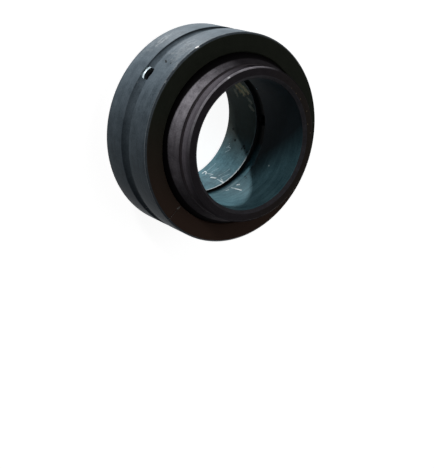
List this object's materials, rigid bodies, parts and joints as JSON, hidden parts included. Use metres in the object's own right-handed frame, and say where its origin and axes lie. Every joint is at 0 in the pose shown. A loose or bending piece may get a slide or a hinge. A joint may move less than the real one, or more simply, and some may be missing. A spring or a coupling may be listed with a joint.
{
  "type": "spherical plain bearing",
  "caption": "Steel spherical plain bearing: a grooved outer ring with one fracture line tilts on the ball of a longer inner ring, which has plain shoulders and a grooved bore.",
  "frame": {"origin": "centre of the ball, which is also the middle of both rings", "axes": "+Z along the bore axis, out of the upper end of the inner ring; the bearing stands on the inner ring's lower end; +Y is the axis of the tilt"},
  "size_m": [0.052, 0.052, 0.032],
  "materials": {
    "outer_ring_steel": "bearing steel with a dark grey phosphate coating, matt and slightly mottled",
    "inner_ring_steel": "bearing steel with a brown-grey phosphate coating, oiled in the bore"
  },
  "bodies": {
    "inner": {"inner_ring": "inner_ring_steel"},
    "outer": {"outer_ring": "outer_ring_steel"}
  },
  "joints": [
    {"name": "tilt", "type": "hinge", "parent": "inner", "child": "outer", "pos_m": [0, 0, 0], "axis": [0, 1, 0], "range_deg": [-4, 4]}
  ]
}
